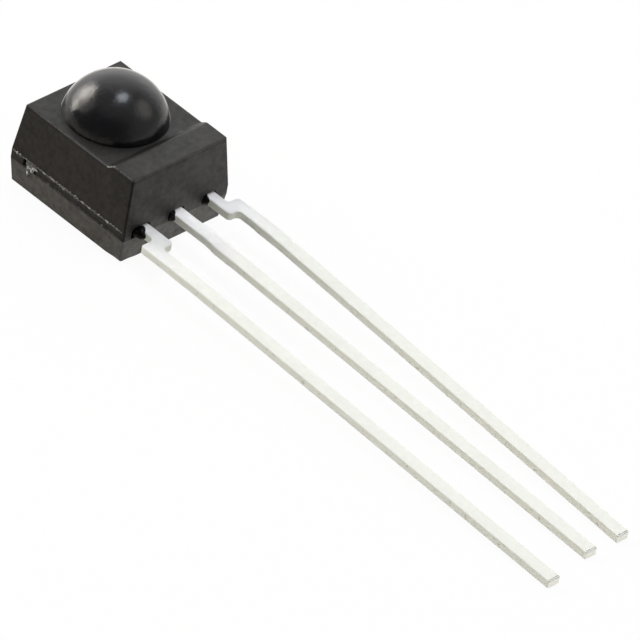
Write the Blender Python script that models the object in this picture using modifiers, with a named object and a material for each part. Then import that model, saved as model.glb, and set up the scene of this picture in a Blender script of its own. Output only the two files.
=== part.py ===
"""Infrared receiver module: a lensed epoxy body on three stepped lead-frame leads.

It lies on its back. X runs across the body, Y from the leads to the closed end and Z up along
the lens's axis. The origin is on the back face, under the lens. The sizes are drawn from the lead
end of the body, and an empty then brings the lens's axis to the origin.
"""
import bmesh
import bpy
import math
from mathutils import Matrix, Vector

MM = 0.001
DEG = math.pi / 180

# Body, measured at its parting line
BODY_WIDTH = 6.00 * MM
BODY_LENGTH = 6.95 * MM
BODY_HEIGHT = 3.99 * MM
LOWER_HEIGHT = 1.22 * MM
SIDE_DRAFT = 8.0 * DEG
END_DRAFT = 5.0 * DEG
EDGE_RADIUS = 0.03 * MM
EDGE_ANGLE = 45.0 * DEG
SHARP_ANGLE = 35.0 * DEG

# Raised pad at the lead end
PAD_RISE = 0.22 * MM
PAD_LENGTH = 1.44 * MM
PAD_SLOPE = 0.32 * MM

# Lens, a cap of a sphere
LENS_RADIUS = 2.37 * MM
LENS_BASE_RADIUS = 2.31 * MM
LENS_FROM_END = 2.77 * MM
LENS_ROOT = 0.30 * MM
LENS_SEGMENTS = 72
LENS_RINGS = 18

# Upright band above the parting line, its groove along both sides, and the broken gate
BAND_HEIGHT = 0.46 * MM
GROOVE_LAND = 0.02 * MM
GROOVE_DEPTH = 0.06 * MM
GROOVE_END = 0.75 * MM
GATE_WIDTH = 0.50 * MM
GATE_HEIGHT = 0.88 * MM
GATE_STAND = 0.035 * MM
GATE_OVERLAP = 0.06 * MM

# Recess beside each lead, and the resin that bled out of it onto the lead's root
RECESS_DEPTH = 0.30 * MM
RECESS_FLOOR = 0.005 * MM
RECESS_HEIGHT = 0.48 * MM
RECESS_WIDE_SIDE = 0.17 * MM
OUTPUT_RECESS_WIDE_SIDE = 0.42 * MM
RECESS_NARROW_SIDE = 0.06 * MM
RECESS_RADIUS = 0.15 * MM
BLEED_WIDTH = 0.42 * MM
OUTPUT_BLEED_WIDTH = 0.66 * MM
BLEED_REACH = 0.24 * MM
OUTPUT_BLEED_REACH = 0.40 * MM
BLEED_ROOT = 0.16 * MM
BLEED_OVER_LEAD = 0.10 * MM

# Lead frame. Its necks sit a little off the body's middle.
LEAD_THICKNESS = 0.37 * MM
LEAD_WIDTH = 0.65 * MM
NECK_WIDTH = 0.54 * MM
MID_NECK_WIDTH = 0.62 * MM
NECK_PITCH = 1.915 * MM
NECK_SHIFT = 0.065 * MM
LEAD_PITCH = 2.54 * MM
LEAD_ABOVE_PARTING = 0.02 * MM
LEAD_LENGTH = 24.87 * MM
OUTPUT_LEAD_EXTRA = 0.43 * MM
NECK_LENGTH = 0.80 * MM
STEP_RADIUS = 0.10 * MM
STEP_INNER_RADIUS = 0.20 * MM
SUPPLY_STEP_RADIUS = 0.24 * MM
STEP_RISE = 0.66 * MM
STEP_SHARE = 0.19
TIP_RADIUS = 0.06 * MM
MID_NECK_LENGTH = 2.05 * MM
MID_NECK_TAPER = 0.70 * MM
CORNER_STEPS = 5

# Bend that lets the tips down onto the table, and each lead's own sway to the side
BEND_START = 1.90 * MM
BEND_LENGTH = 2.40 * MM
BEND_STEPS = 6
OUTPUT_SWAY = 0.22 * MM
GROUND_SWAY = 0.26 * MM
SUPPLY_SWAY = -0.44 * MM

# Paddle and bond posts inside the body. A share is of the way from the lead end to the lens.
PADDLE_WIDTH = 2.60 * MM
PADDLE_FRONT_SHARE = 0.234
PADDLE_BACK_SHARE = 1.316
PADDLE_RADIUS = 0.12 * MM
NOTCH_DEPTH = 0.20 * MM
NOTCH_SHARE = 0.096
POST_WIDTH = 0.74 * MM
POST_NECK_SHARE = 0.132
POST_SHARE = 0.323

# Chips on the paddle
PHOTODIODE_SHARE = 0.455
PHOTODIODE_THICKNESS = 0.28 * MM
CHIP_WIDTH = 1.36 * MM
CHIP_SHARE = 0.254
CHIP_THICKNESS = 0.25 * MM
CHIP_GAP_SHARE = 0.057
ATTACH_THICKNESS = 0.025 * MM
ATTACH_MARGIN = 0.05 * MM
SEAT_GAP = 0.002 * MM

# Bond wires
WIRE_RADIUS = 0.0150 * MM
BALL_RADIUS = 0.036 * MM
BALL_HEIGHT = 0.030 * MM
WIRE_RISE = 0.28 * MM
WIRE_BEND = 0.09 * MM
WIRE_FOOT_BEND = 0.12 * MM
WIRE_STITCH = 0.12 * MM
BOND_INSET = 0.14 * MM

# Room that the moulding leaves round what it holds
MOULD_CLEARANCE = 0.010 * MM
CUT_OVERRUN = 0.5 * MM
MERGE = 0.0000001

# Places that follow from the sizes
PARTING_Z = LOWER_HEIGHT
BAND_TOP_Z = PARTING_Z + BAND_HEIGHT
PAD_TOP_Z = BODY_HEIGHT + PAD_RISE
LENS_Y = BODY_LENGTH - LENS_FROM_END
LENS_CENTRE_Z = BODY_HEIGHT - math.sqrt(LENS_RADIUS ** 2 - LENS_BASE_RADIUS ** 2)
LEAD_BOTTOM_Z = PARTING_Z + LEAD_ABOVE_PARTING
LEAD_TOP_Z = LEAD_BOTTOM_Z + LEAD_THICKNESS
PADDLE_FRONT, PADDLE_BACK = PADDLE_FRONT_SHARE * LENS_Y, PADDLE_BACK_SHARE * LENS_Y
POST_NECK, POST_LENGTH = POST_NECK_SHARE * LENS_Y, POST_SHARE * LENS_Y
NOTCH_LENGTH = NOTCH_SHARE * LENS_Y
PHOTODIODE_SIDE = PHOTODIODE_SHARE * LENS_Y
CHIP_LENGTH, CHIP_GAP = CHIP_SHARE * LENS_Y, CHIP_GAP_SHARE * LENS_Y
OUTPUT_NECK, SUPPLY_NECK = NECK_PITCH - NECK_SHIFT, NECK_PITCH + NECK_SHIFT
ATTACH_TOP_Z = LEAD_TOP_Z + SEAT_GAP + ATTACH_THICKNESS
CHIP_Y = LENS_Y - PHOTODIODE_SIDE / 2 - CHIP_GAP - CHIP_LENGTH / 2
PHOTODIODE_TOP_Z = ATTACH_TOP_Z + SEAT_GAP + PHOTODIODE_THICKNESS
NOTCH_Y = LENS_Y - PHOTODIODE_SIDE / 2 - CHIP_GAP / 2
CHIP_TOP_Z = ATTACH_TOP_Z + SEAT_GAP + CHIP_THICKNESS


def clear_scene():
    """Remove every object, so the module is alone in the file."""
    for obj in list(bpy.data.objects):
        bpy.data.objects.remove(obj, do_unlink=True)


def new_collection(name):
    """Add a collection to the scene."""
    collection = bpy.data.collections.new(name)
    bpy.context.scene.collection.children.link(collection)
    return collection


def material(name, colour, roughness, metallic=0.0):
    """Plain Principled material."""
    mat = bpy.data.materials.new(name)
    mat.use_nodes = True
    shader = mat.node_tree.nodes["Principled BSDF"]
    shader.inputs["Base Color"].default_value = (*colour, 1.0)
    shader.inputs["Roughness"].default_value = roughness
    shader.inputs["Metallic"].default_value = metallic
    mat.diffuse_color = (*colour, 1.0)
    return mat


def add_mesh(bm, name, collection, mat=None, smooth=False):
    """Turn a bmesh into an object of the collection, shaded smooth up to the sharp angle or flat."""
    mesh = bpy.data.meshes.new(name)
    bm.to_mesh(mesh)
    bm.free()
    if smooth:
        mesh.shade_smooth()
        mesh.set_sharp_from_angle(angle=SHARP_ANGLE)
    obj = bpy.data.objects.new(name, mesh)
    collection.objects.link(obj)
    if mat:
        mesh.materials.append(mat)
    return obj


def as_cutter(obj):
    """Hide a cutting shape from renders and from the parts."""
    obj.hide_render = True
    obj.display_type = "WIRE"
    return obj


def boolean(target, cutter, operation):
    """Join or cut the target with another object."""
    mod = target.modifiers.new(f"{operation.lower()} {cutter.name}", "BOOLEAN")
    mod.operation = operation
    mod.solver = "EXACT"
    mod.object = cutter
    return mod


def block(low, high):
    """Bmesh box between two corners."""
    bm = bmesh.new()
    bmesh.ops.create_cube(bm, size=1.0)
    size = [h - l for l, h in zip(low, high)]
    middle = [(h + l) / 2 for l, h in zip(low, high)]
    bmesh.ops.transform(bm, matrix=Matrix.Translation(middle) @ Matrix.Diagonal((*size, 1.0)),
                        verts=bm.verts)
    return bm


def rounded(corners, radii, steps=CORNER_STEPS):
    """Outline through the corners, each turned into an arc of its own radius."""
    points = []
    count = len(corners)
    for i, radius in enumerate(radii):
        corner = Vector(corners[i])
        before = (Vector(corners[i - 1]) - corner).normalized()
        after = (Vector(corners[(i + 1) % count]) - corner).normalized()
        if radius == 0.0:
            points.append(tuple(corner))
            continue
        half = before.angle(after) / 2
        reach = radius / math.tan(half)
        centre = corner + (before + after).normalized() * radius / math.sin(half)
        first, last = corner + before * reach - centre, corner + after * reach - centre
        sweep = math.atan2(first.cross(last), first.dot(last))
        start = math.atan2(first.y, first.x)
        points += [(centre.x + radius * math.cos(start + sweep * k / steps),
                    centre.y + radius * math.sin(start + sweep * k / steps))
                   for k in range(steps + 1)]
    return points


def flat_shape(outline, z_low, z_high):
    """Bmesh of a flat outline, filled and given its thickness between two levels."""
    curve = bpy.data.curves.new("outline", "CURVE")
    curve.dimensions = "2D"
    curve.fill_mode = "BOTH"
    curve.extrude = (z_high - z_low) / 2
    spline = curve.splines.new("POLY")
    spline.points.add(len(outline) - 1)
    for point, (x, y) in zip(spline.points, outline):
        point.co = (x, y, 0.0, 1.0)
    spline.use_cyclic_u = True
    return curve_to_bmesh(curve, Matrix.Translation((0, 0, (z_low + z_high) / 2)))


def curve_to_bmesh(curve, matrix):
    """Closed bmesh of a curve, with its caps welded on."""
    guide = bpy.data.objects.new("guide", curve)
    bpy.context.scene.collection.objects.link(guide)
    bpy.context.view_layer.update()
    mesh = bpy.data.meshes.new_from_object(guide.evaluated_get(bpy.context.evaluated_depsgraph_get()))
    bm = bmesh.new()
    bm.from_mesh(mesh)
    bpy.data.objects.remove(guide, do_unlink=True)
    bpy.data.meshes.remove(mesh)
    bmesh.ops.remove_doubles(bm, verts=bm.verts, dist=MERGE)
    bmesh.ops.transform(bm, matrix=matrix, verts=bm.verts)
    bmesh.ops.recalc_face_normals(bm, faces=bm.faces)
    return bm


def drafted_body():
    """Body block: upright at its parting band, leaning in above and below it."""
    bm = block((-BODY_WIDTH / 2, 0.0, 0.0), (BODY_WIDTH / 2, BODY_LENGTH, PAD_TOP_Z))
    for level in (PARTING_Z, BAND_TOP_Z):
        bmesh.ops.bisect_plane(bm, geom=bm.verts[:] + bm.edges[:] + bm.faces[:],
                               plane_co=(0, 0, level), plane_no=(0, 0, 1), dist=MERGE)
    for vert in bm.verts:
        beyond = max(vert.co.z - BAND_TOP_Z, PARTING_Z - vert.co.z, 0.0)
        vert.co.x -= math.copysign(beyond * math.tan(SIDE_DRAFT), vert.co.x)
        inward = 1.0 if vert.co.y < BODY_LENGTH / 2 else -1.0
        vert.co.y += inward * beyond * math.tan(END_DRAFT)
    return bm


def above_pad(cutters):
    """Wedge-fronted block that clears everything behind the raised pad."""
    outline = [(PAD_LENGTH, PAD_TOP_Z + CUT_OVERRUN), (PAD_LENGTH, PAD_TOP_Z),
               (PAD_LENGTH + PAD_SLOPE, BODY_HEIGHT), (BODY_LENGTH + CUT_OVERRUN, BODY_HEIGHT),
               (BODY_LENGTH + CUT_OVERRUN, PAD_TOP_Z + CUT_OVERRUN)]
    half = BODY_WIDTH / 2 + CUT_OVERRUN
    bm = flat_shape(outline, -half, half)
    turn = Matrix(((0, 0, 1, 0), (1, 0, 0, 0), (0, 1, 0, 0), (0, 0, 0, 1)))
    bmesh.ops.transform(bm, matrix=turn, verts=bm.verts)
    return as_cutter(add_mesh(bm, "above_pad", cutters))


def lens(cutters):
    """Cap of a sphere, turned from its profile, with its root inside the body."""
    base = math.acos((BODY_HEIGHT - LENS_ROOT - LENS_CENTRE_Z) / LENS_RADIUS)
    angles = [base * i / LENS_RINGS for i in range(LENS_RINGS + 1)]
    profile = [(LENS_RADIUS * math.sin(a), LENS_CENTRE_Z + LENS_RADIUS * math.cos(a)) for a in angles]
    profile.append((0.0, profile[-1][1]))
    bm = bmesh.new()
    verts = [bm.verts.new((x, 0.0, z)) for x, z in profile]
    for first, second in zip(verts, verts[1:]):
        bm.edges.new((first, second))
    obj = add_mesh(bm, "lens", cutters)
    obj.location.y = LENS_Y
    screw = obj.modifiers.new("turn", "SCREW")
    screw.steps = screw.render_steps = LENS_SEGMENTS
    screw.use_merge_vertices = True
    screw.merge_threshold = MERGE
    return as_cutter(obj)


def side_groove(side, cutters):
    """Groove in the upright band, from the lead end to the gate."""
    near, far = BODY_WIDTH / 2 - GROOVE_DEPTH, BODY_WIDTH / 2 + CUT_OVERRUN
    low, high = sorted((side * near, side * far))
    bm = block((low, -CUT_OVERRUN, PARTING_Z + GROOVE_LAND),
               (high, BODY_LENGTH - GROOVE_END, BAND_TOP_Z - GROOVE_LAND))
    return as_cutter(add_mesh(bm, "side_groove", cutters))


def gate_scar(cutters):
    """Stub of resin left where the gate broke off, at the end of the left groove."""
    end, foot = BODY_LENGTH - GROOVE_END, BAND_TOP_Z - GATE_HEIGHT
    bm = block((-BODY_WIDTH / 2 - GATE_STAND, end - GATE_WIDTH, foot),
               (-BODY_WIDTH / 2 + 2 * GROOVE_DEPTH, end + GATE_OVERLAP, BAND_TOP_Z - GROOVE_LAND / 2))
    wall = -BODY_WIDTH / 2 + (PARTING_Z - foot) * math.tan(SIDE_DRAFT)
    for vert in bm.verts:
        if vert.co.z == min(v.co.z for v in bm.verts):
            vert.co.y = end - GATE_WIDTH * (0.8 if vert.co.y < end - GATE_WIDTH / 2 else 0.4)
            if vert.co.x < -BODY_WIDTH / 2:
                vert.co.x = wall + GATE_STAND
    return as_cutter(add_mesh(bm, "gate_scar", cutters))


def neck_edges(centre, width):
    """Left and right edge of a lead's neck."""
    return centre - width / 2, centre + width / 2


def resin_bleed(neck, width, reach, cutters):
    """Lump of resin on the lead end that laps over the left edge of the lead's root."""
    bm = bmesh.new()
    bmesh.ops.create_uvsphere(bm, u_segments=14, v_segments=8, radius=1.0)
    top, bottom = LEAD_TOP_Z + BLEED_OVER_LEAD, PARTING_Z - BLEED_ROOT / 2
    back = RECESS_DEPTH + BLEED_ROOT
    middle = (neck[0], (back - reach) / 2, (top + bottom) / 2)
    size = Matrix.Diagonal((width / 2, (back + reach) / 2, (top - bottom) / 2, 1.0))
    bmesh.ops.transform(bm, matrix=Matrix.Translation(middle) @ size, verts=bm.verts)
    return as_cutter(add_mesh(bm, "resin_bleed", cutters, smooth=True))


def lead_recess(neck, wide_side, cutters):
    """Round-cornered recess in the lead end, wider on the left side of its lead."""
    left, right = neck[0] - wide_side, neck[1] + RECESS_NARROW_SIDE
    floor = PARTING_Z + RECESS_FLOOR
    bm = block((left, -CUT_OVERRUN, floor), (right, RECESS_DEPTH, floor + RECESS_HEIGHT))
    upper = [e for e in bm.edges if all(v.co.z > floor + RECESS_HEIGHT / 2 for v in e.verts)
             and abs(e.verts[0].co.y - e.verts[1].co.y) > RECESS_DEPTH]
    bmesh.ops.bevel(bm, geom=upper, offset=RECESS_RADIUS, offset_type="OFFSET",
                    segments=CORNER_STEPS, profile=0.5, affect="EDGES")
    return as_cutter(add_mesh(bm, "lead_recess", cutters))


def post_corners(neck, room=0.0):
    """Corners and radii of an outer lead's bond post, inside the body, on the +X side."""
    neck_in, neck_out = neck - NECK_WIDTH / 2 - room, neck + NECK_WIDTH / 2 + room
    post_in, post_out = neck - POST_WIDTH / 2 - room, neck + POST_WIDTH / 2 + room
    shoulder, end = POST_NECK - room, POST_LENGTH + room
    corners = [(neck_out, shoulder), (post_out, shoulder), (post_out, end), (post_in, end),
               (post_in, shoulder), (neck_in, shoulder)]
    return corners, [0.0, 0.0, PADDLE_RADIUS, PADDLE_RADIUS, 0.0, 0.0]


def paddle_corners(room=0.0):
    """Corners and radii of the die paddle, with its locking notch on each side."""
    left_neck, right_neck = neck_edges(NECK_SHIFT, MID_NECK_WIDTH + 2 * room)
    half = PADDLE_WIDTH / 2 + room
    front, back = PADDLE_FRONT - room, PADDLE_BACK + room
    floor, notch = half - NOTCH_DEPTH, NOTCH_LENGTH / 2 - room
    low, high = NOTCH_Y - notch, NOTCH_Y + notch
    right = [(half, front), (half, low), (floor, low), (floor, high), (half, high), (half, back)]
    radii = [PADDLE_RADIUS, 0.0, 0.0, 0.0, 0.0, PADDLE_RADIUS]
    left = [(-x, y) for x, y in reversed(right)]
    corners = [(right_neck, front), *right, *left, (left_neck, front)]
    return corners, [0.0, *radii, *radii[::-1], 0.0]


def outer_lead_outline(neck, extra, step_radius):
    """Outline of an outer lead on the +X side: neck, step and straight pin, with its post."""
    pin_in, pin_out = LEAD_PITCH - LEAD_WIDTH / 2, LEAD_PITCH + LEAD_WIDTH / 2
    neck_in, neck_out = neck_edges(neck, NECK_WIDTH)
    tip, stop = -LEAD_LENGTH - extra, -NECK_LENGTH - extra * STEP_SHARE
    post, post_radii = post_corners(neck)
    corners = [(pin_in, tip), (pin_out, tip), (pin_out, stop), (neck_out, stop), *post,
               (neck_in, stop - STEP_RISE), (pin_in, stop - STEP_RISE)]
    radii = [TIP_RADIUS, TIP_RADIUS, step_radius, STEP_RADIUS, *post_radii,
             STEP_INNER_RADIUS, STEP_INNER_RADIUS]
    return rounded(corners, radii)


def middle_lead_outline():
    """Outline of the middle lead: straight pin, tapered neck and the die paddle."""
    pin = LEAD_WIDTH / 2
    left_neck, right_neck = neck_edges(NECK_SHIFT, MID_NECK_WIDTH)
    paddle, paddle_radii = paddle_corners()
    wide = -MID_NECK_LENGTH - MID_NECK_TAPER
    right = [(pin, -LEAD_LENGTH), (pin, wide), (right_neck, -MID_NECK_LENGTH)]
    left = [(left_neck, -MID_NECK_LENGTH), (-pin, wide), (-pin, -LEAD_LENGTH)]
    radii = [TIP_RADIUS, 0.0, 0.0]
    return rounded(right + paddle + left, radii + paddle_radii + radii[::-1])


def bend_lead(bm, extra, sway):
    """Bend the pin down to the table and to one side, slowly at first and then straight."""
    for step in range(BEND_STEPS + 1):
        level = -BEND_START - BEND_LENGTH * step / BEND_STEPS
        bmesh.ops.bisect_plane(bm, geom=bm.verts[:] + bm.edges[:] + bm.faces[:],
                               plane_co=(0, level, 0), plane_no=(0, 1, 0), dist=MERGE)
    whole = LEAD_LENGTH + extra - BEND_START - BEND_LENGTH / 2
    for vert in bm.verts:
        along = max(-vert.co.y - BEND_START, 0.0)
        moved = along ** 2 / (2 * BEND_LENGTH) if along < BEND_LENGTH else along - BEND_LENGTH / 2
        vert.co.z -= LEAD_BOTTOM_Z * moved / whole
        vert.co.x += sway * moved / whole


def lead(name, outline, extra, sway, parts, mat):
    """Blanked and bent lead."""
    bm = flat_shape(outline, LEAD_BOTTOM_Z, LEAD_TOP_Z)
    bend_lead(bm, extra, sway)
    return add_mesh(bm, name, parts, mat, smooth=True)


def leads(parts, mat):
    """The three leads of the frame."""
    right = outer_lead_outline(SUPPLY_NECK, 0.0, SUPPLY_STEP_RADIUS)
    left = [(-x, y) for x, y in outer_lead_outline(OUTPUT_NECK, OUTPUT_LEAD_EXTRA, STEP_RADIUS)]
    lead("supply_lead", right, 0.0, SUPPLY_SWAY, parts, mat)
    lead("ground_lead", middle_lead_outline(), 0.0, GROUND_SWAY, parts, mat)
    lead("output_lead", left, OUTPUT_LEAD_EXTRA, OUTPUT_SWAY, parts, mat)


def lead_slots(cavity):
    """Room in the body for the leads' inner ends, open at the lead end."""
    low, high = LEAD_BOTTOM_Z - MOULD_CLEARANCE, LEAD_TOP_Z + MOULD_CLEARANCE
    for side, neck in ((-1, OUTPUT_NECK), (1, SUPPLY_NECK)):
        post, radii = post_corners(neck, MOULD_CLEARANCE)
        mouth = [(post[-1][0], -CUT_OVERRUN), (post[0][0], -CUT_OVERRUN)]
        slot = rounded(mouth + post, [0.0, 0.0] + radii)
        bm = flat_shape([(side * x, y) for x, y in slot], low, high)
        as_cutter(add_mesh(bm, "post_slot", cavity))
    paddle, radii = paddle_corners(MOULD_CLEARANCE)
    mouth = [(paddle[-1][0], -CUT_OVERRUN), (paddle[0][0], -CUT_OVERRUN)]
    bm = flat_shape(rounded(mouth + paddle, [0.0, 0.0] + radii), low, high)
    as_cutter(add_mesh(bm, "paddle_slot", cavity))


def die(name, y, width, length, thickness, parts, cavity, mat):
    """Sawn chip on the adhesive, and its room in the body."""
    low, high = ATTACH_TOP_Z + SEAT_GAP, ATTACH_TOP_Z + SEAT_GAP + thickness
    add_mesh(block((-width / 2, y - length / 2, low), (width / 2, y + length / 2, high)),
             name, parts, mat)
    half_x, half_y = width / 2 + MOULD_CLEARANCE, length / 2 + MOULD_CLEARANCE
    room = block((-half_x, y - half_y, ATTACH_TOP_Z - ATTACH_THICKNESS / 2),
                 (half_x, y + half_y, high + MOULD_CLEARANCE))
    as_cutter(add_mesh(room, name + "_room", cavity))


def attach(name, y, width, length, parts, cavity, mat):
    """Layer of adhesive, squeezed a little past its chip, and its room in the body."""
    for room, low, high in ((0.0, LEAD_TOP_Z + SEAT_GAP, ATTACH_TOP_Z),
                            (MOULD_CLEARANCE, LEAD_TOP_Z, ATTACH_TOP_Z + MOULD_CLEARANCE)):
        x, half = width / 2 + ATTACH_MARGIN + room, length / 2 + ATTACH_MARGIN + room
        corners = [(-x, y - half), (x, y - half), (x, y + half), (-x, y + half)]
        bm = flat_shape(rounded(corners, [ATTACH_MARGIN + room] * 4), low, high)
        if room:
            as_cutter(add_mesh(bm, name + "_room", cavity))
        else:
            add_mesh(bm, name, parts, mat, smooth=True)


def wire_path(start, end):
    """Path of a bond wire: straight up from its ball, over a bend, and down to a flat stitch."""
    start, end = Vector(start), Vector(end)
    start.z += SEAT_GAP + BALL_HEIGHT / 2
    end.z += SEAT_GAP + WIRE_RADIUS
    along = Vector((end.x - start.x, end.y - start.y, 0.0))
    span = along.length
    corners = [(0.0, start.z), (0.0, start.z + WIRE_RISE), (span - WIRE_STITCH, end.z), (span, end.z)]
    profile = rounded(corners, [0.0, WIRE_BEND, WIRE_FOOT_BEND, 0.0])
    return [Vector((start.x, start.y, z)) + along * (s / span) for s, z in profile]


def tube(points, radius):
    """Closed bmesh of a round wire through the points."""
    curve = bpy.data.curves.new("wire", "CURVE")
    curve.dimensions = "3D"
    curve.bevel_depth = radius
    curve.bevel_resolution = 1
    curve.use_fill_caps = True
    spline = curve.splines.new("POLY")
    spline.points.add(len(points) - 1)
    for point, place in zip(spline.points, points):
        point.co = (*place, 1.0)
    return curve_to_bmesh(curve, Matrix.Identity(4))


def ball(place, radius, height, cutters):
    """Squashed ball of a first bond."""
    bm = bmesh.new()
    bmesh.ops.create_uvsphere(bm, u_segments=10, v_segments=6, radius=radius)
    squash = Matrix.Diagonal((1.0, 1.0, height / (2 * radius), 1.0))
    bmesh.ops.transform(bm, matrix=Matrix.Translation(place) @ squash, verts=bm.verts)
    return as_cutter(add_mesh(bm, "ball", cutters, smooth=True))


def wire(name, start, end, parts, cutters, cavity, mat):
    """Bond wire with its ball, and its room in the body."""
    path = wire_path(start, end)
    obj = add_mesh(tube(path, WIRE_RADIUS), name, parts, mat, smooth=True)
    boolean(obj, ball(path[0], BALL_RADIUS, BALL_HEIGHT, cutters), "UNION")
    as_cutter(add_mesh(tube(path, WIRE_RADIUS + MOULD_CLEARANCE), name + "_room", cavity))
    ball(path[0], BALL_RADIUS + MOULD_CLEARANCE, BALL_HEIGHT + 4 * MOULD_CLEARANCE, cavity)


def chips(parts, cutters, cavity, silicon, adhesive, gold):
    """Photodiode and receiver chip on the paddle, with their adhesive and bond wires."""
    attach("photodiode_attach", LENS_Y, PHOTODIODE_SIDE, PHOTODIODE_SIDE, parts, cavity, adhesive)
    attach("receiver_ic_attach", CHIP_Y, CHIP_WIDTH, CHIP_LENGTH, parts, cavity, adhesive)
    die("photodiode_die", LENS_Y, PHOTODIODE_SIDE, PHOTODIODE_SIDE, PHOTODIODE_THICKNESS,
        parts, cavity, silicon)
    die("receiver_ic_die", CHIP_Y, CHIP_WIDTH, CHIP_LENGTH, CHIP_THICKNESS, parts, cavity, silicon)
    chip_front, chip_back = CHIP_Y - CHIP_LENGTH / 2 + BOND_INSET, CHIP_Y + CHIP_LENGTH / 2 - BOND_INSET
    pad_x = CHIP_WIDTH / 2 - BOND_INSET
    post_y = (POST_NECK + POST_LENGTH) / 2
    diode_edge = LENS_Y - PHOTODIODE_SIDE / 2 + BOND_INSET
    rest = (parts, cutters, cavity, gold)
    wire("photodiode_wire", (0.0, diode_edge, PHOTODIODE_TOP_Z), (0.0, chip_back, CHIP_TOP_Z), *rest)
    wire("output_wire", (-pad_x, chip_front, CHIP_TOP_Z), (-OUTPUT_NECK, post_y, LEAD_TOP_Z), *rest)
    wire("supply_wire", (pad_x, chip_front, CHIP_TOP_Z), (SUPPLY_NECK, post_y, LEAD_TOP_Z), *rest)
    wire("ground_wire", (0.0, chip_front, CHIP_TOP_Z),
         (0.0, (PADDLE_FRONT + CHIP_Y - CHIP_LENGTH / 2) / 2, LEAD_TOP_Z), *rest)


def package(parts, cutters, cavity, mat):
    """The moulding: drafted block, pad, rounded edges, lens, grooves, recesses and its inside."""
    obj = add_mesh(drafted_body(), "package", parts, mat)
    boolean(obj, above_pad(cutters), "DIFFERENCE")
    edges = obj.modifiers.new("edges", "BEVEL")
    edges.width = EDGE_RADIUS
    edges.segments = 3
    edges.limit_method = "ANGLE"
    edges.angle_limit = EDGE_ANGLE
    boolean(obj, lens(cutters), "UNION")
    for side in (-1, 1):
        boolean(obj, side_groove(side, cutters), "DIFFERENCE")
    boolean(obj, gate_scar(cutters), "UNION")
    output = neck_edges(-OUTPUT_NECK, NECK_WIDTH)
    others = (neck_edges(NECK_SHIFT, MID_NECK_WIDTH), neck_edges(SUPPLY_NECK, NECK_WIDTH))
    boolean(obj, lead_recess(output, OUTPUT_RECESS_WIDE_SIDE, cutters), "DIFFERENCE")
    for neck in others:
        boolean(obj, lead_recess(neck, RECESS_WIDE_SIDE, cutters), "DIFFERENCE")
    boolean(obj, resin_bleed(output, OUTPUT_BLEED_WIDTH, OUTPUT_BLEED_REACH, cutters), "UNION")
    for neck in others:
        boolean(obj, resin_bleed(neck, BLEED_WIDTH, BLEED_REACH, cutters), "UNION")
    inside = obj.modifiers.new("inside", "BOOLEAN")
    inside.operation = "DIFFERENCE"
    inside.solver = "EXACT"
    inside.operand_type = "COLLECTION"
    inside.collection = cavity
    return obj


def centre_on_lens(*collections):
    """Hang everything on an empty that brings the lens's axis to the origin."""
    datum = bpy.data.objects.new("lens_axis", None)
    datum.location.y = -LENS_Y
    collections[0].objects.link(datum)
    for collection in collections:
        for obj in collection.objects:
            if obj is not datum:
                obj.parent = datum


def main():
    """Build the module."""
    clear_scene()
    parts = new_collection("infrared_receiver_module")
    cutters = new_collection("cutters")
    cavity = new_collection("cavity")
    epoxy = material("dark_epoxy", (0.052, 0.050, 0.050), 0.55)
    tin = material("tinned_lead", (0.78, 0.78, 0.76), 0.38, 1.0)
    silicon = material("silicon", (0.16, 0.17, 0.20), 0.20, 0.6)
    adhesive = material("conductive_adhesive", (0.62, 0.61, 0.58), 0.50, 0.5)
    gold = material("bond_gold", (0.90, 0.66, 0.24), 0.25, 1.0)
    leads(parts, tin)
    lead_slots(cavity)
    chips(parts, cutters, cavity, silicon, adhesive, gold)
    package(parts, cutters, cavity, epoxy)
    centre_on_lens(parts, cutters, cavity)


main()
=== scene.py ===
"""Infrared receiver module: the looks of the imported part.

The module lies on its back with its leads towards -Y. The origin is on the back face, under the
lens, and Z is up along the lens's axis. Sizes are in millimetres and become metres where a mesh
is made. Curved and moulded surfaces are worked out with numpy, as whole arrays.
"""

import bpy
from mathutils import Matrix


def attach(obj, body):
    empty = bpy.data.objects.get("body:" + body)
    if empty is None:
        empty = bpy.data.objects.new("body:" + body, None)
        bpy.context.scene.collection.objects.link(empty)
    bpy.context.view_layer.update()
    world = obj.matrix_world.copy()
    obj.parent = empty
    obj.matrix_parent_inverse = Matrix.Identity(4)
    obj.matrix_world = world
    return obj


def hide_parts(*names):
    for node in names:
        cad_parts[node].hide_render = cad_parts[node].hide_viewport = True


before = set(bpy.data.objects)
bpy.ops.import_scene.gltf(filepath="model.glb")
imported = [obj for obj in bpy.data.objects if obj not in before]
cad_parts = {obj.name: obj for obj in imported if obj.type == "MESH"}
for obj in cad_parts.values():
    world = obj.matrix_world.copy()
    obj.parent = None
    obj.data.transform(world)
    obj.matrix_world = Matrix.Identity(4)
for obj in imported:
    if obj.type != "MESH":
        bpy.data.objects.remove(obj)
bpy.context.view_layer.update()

import logging
import math
from collections.abc import Callable
from dataclasses import dataclass, field
from enum import Enum

import bmesh
import bpy
import numpy as np
from mathutils import Matrix, Vector

log = logging.getLogger("receiver_module")

Array = np.ndarray
Triple = tuple[float, float, float]
Socket = bpy.types.NodeSocket
Term = Socket | float | tuple[float, ...]

MM = 0.001
WELD = 2e-7
TURN = 2.0 * math.pi
BODY_ROOT = "root"

# Levels that several pieces share, in millimetres
LEAD_END = -4.18
PARTING = 1.22
BAND_TOP = 1.68
PLATE = 3.99
PAD_TOP = 4.21


# Small mathematics

def ease(value: Array, low: float, high: float) -> Array:
    """Smooth step from 0 at low to 1 at high: t * t * (3 - 2t)."""
    t = np.clip((value - low) / (high - low), 0.0, 1.0)
    return t * t * (3.0 - 2.0 * t)


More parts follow.
